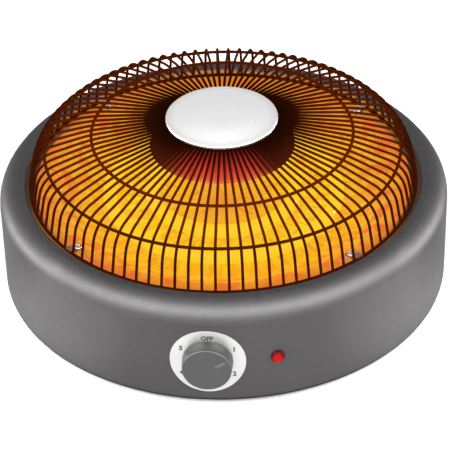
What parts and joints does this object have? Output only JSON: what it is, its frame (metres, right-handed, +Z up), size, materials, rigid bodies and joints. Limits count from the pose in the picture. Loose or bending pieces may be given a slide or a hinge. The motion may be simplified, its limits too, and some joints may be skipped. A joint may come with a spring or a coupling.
{
  "type": "electric brazier",
  "caption": "Round electric floor brazier: ring-tube heaters in a reflector dish under a domed wire guard with a capped deflector, and a rotary heat knob in front.",
  "frame": {"origin": "on the heater's upright axis, at the floor under the feet", "axes": "+Z is up along the round body's axis; -Y points to the control knob, +Y to the cable gland in the rear wall; +X is to the right, seen from the knob"},
  "size_m": [0.4, 0.4272, 0.165],
  "materials": {
    "casing_paint": "satin dark grey enamel",
    "zinc_sheet": "galvanised sheet",
    "zinc_steel": "zinc-plated",
    "guard_enamel": "dark heat-proof enamel on wire",
    "cap_metal": "satin, pressed",
    "deflector_enamel": "black heat-proof enamel",
    "dish_polish": "polished, heat-tinted",
    "quartz": "clear quartz",
    "filament_wire": "glowing resistance wire",
    "ceramic": "unglazed ceramic",
    "brass": "plain",
    "knob_plastic": "fine moulded grain",
    "dial_metal": "finely brushed",
    "switch_plastic": "moulded",
    "lens_red": "translucent red",
    "black_nylon": "nylon",
    "foot_rubber": "matt black",
    "lead_insulation": "silicone"
  },
  "bodies": {
    "housing": {"base_plate": "zinc_sheet", "base_screws": "zinc_steel", "cable_gland": "black_nylon", "cap_nut": "zinc_steel", "centre_cap": "cap_metal", "clip_rivets": "zinc_steel", "cutout_screws": "zinc_steel", "dial_plate": "dial_metal", "earth_nut": "zinc_steel", "earth_stud": "zinc_steel", "gland_cap": "black_nylon", "gland_locknut": "black_nylon", "guard_clip_nuts": "zinc_steel", "guard_clip_screws": "zinc_steel", "guard_clips": "zinc_steel", "guard_hub_plate": "guard_enamel", "guard_inner_ring": "guard_enamel", "guard_outer_ring": "guard_enamel", "guard_rim_ring": "guard_enamel", "guard_wires": "guard_enamel", "heat_deflector": "deflector_enamel", "heat_shield": "zinc_sheet", "inner_filament": "filament_wire", "inner_heating_tube": "quartz", "internal_leads": "lead_insulation", "outer_casing": "casing_paint", "outer_filament": "filament_wire", "outer_heating_tube": "quartz", "pilot_lamp_body": "switch_plastic", "pilot_lamp_lens": "lens_red", "pilot_lamp_nut": "black_nylon", "reflector_dish": "dish_polish", "rotary_switch": "switch_plastic", "rubber_feet": "foot_rubber", "shield_nuts": "zinc_steel", "shield_screws": "zinc_steel", "shield_spacers": "zinc_steel", "switch_nut": "zinc_steel", "switch_tabs": "brass", "switch_washer": "zinc_steel", "terminal_block": "switch_plastic", "terminal_screws": "brass", "thermal_cutout": "switch_plastic", "tube_clips": "zinc_steel", "tube_end_blocks": "ceramic", "tube_pins": "brass"},
    "knob": {"control_knob": "knob_plastic", "switch_shaft": "zinc_steel"}
  },
  "joints": [
    {"name": "knob_turn", "type": "hinge", "parent": "housing", "child": "knob", "pos_m": [0, -0.2, 0.0486], "axis": [0, 1, 0], "range_deg": [-60, 240]}
  ]
}
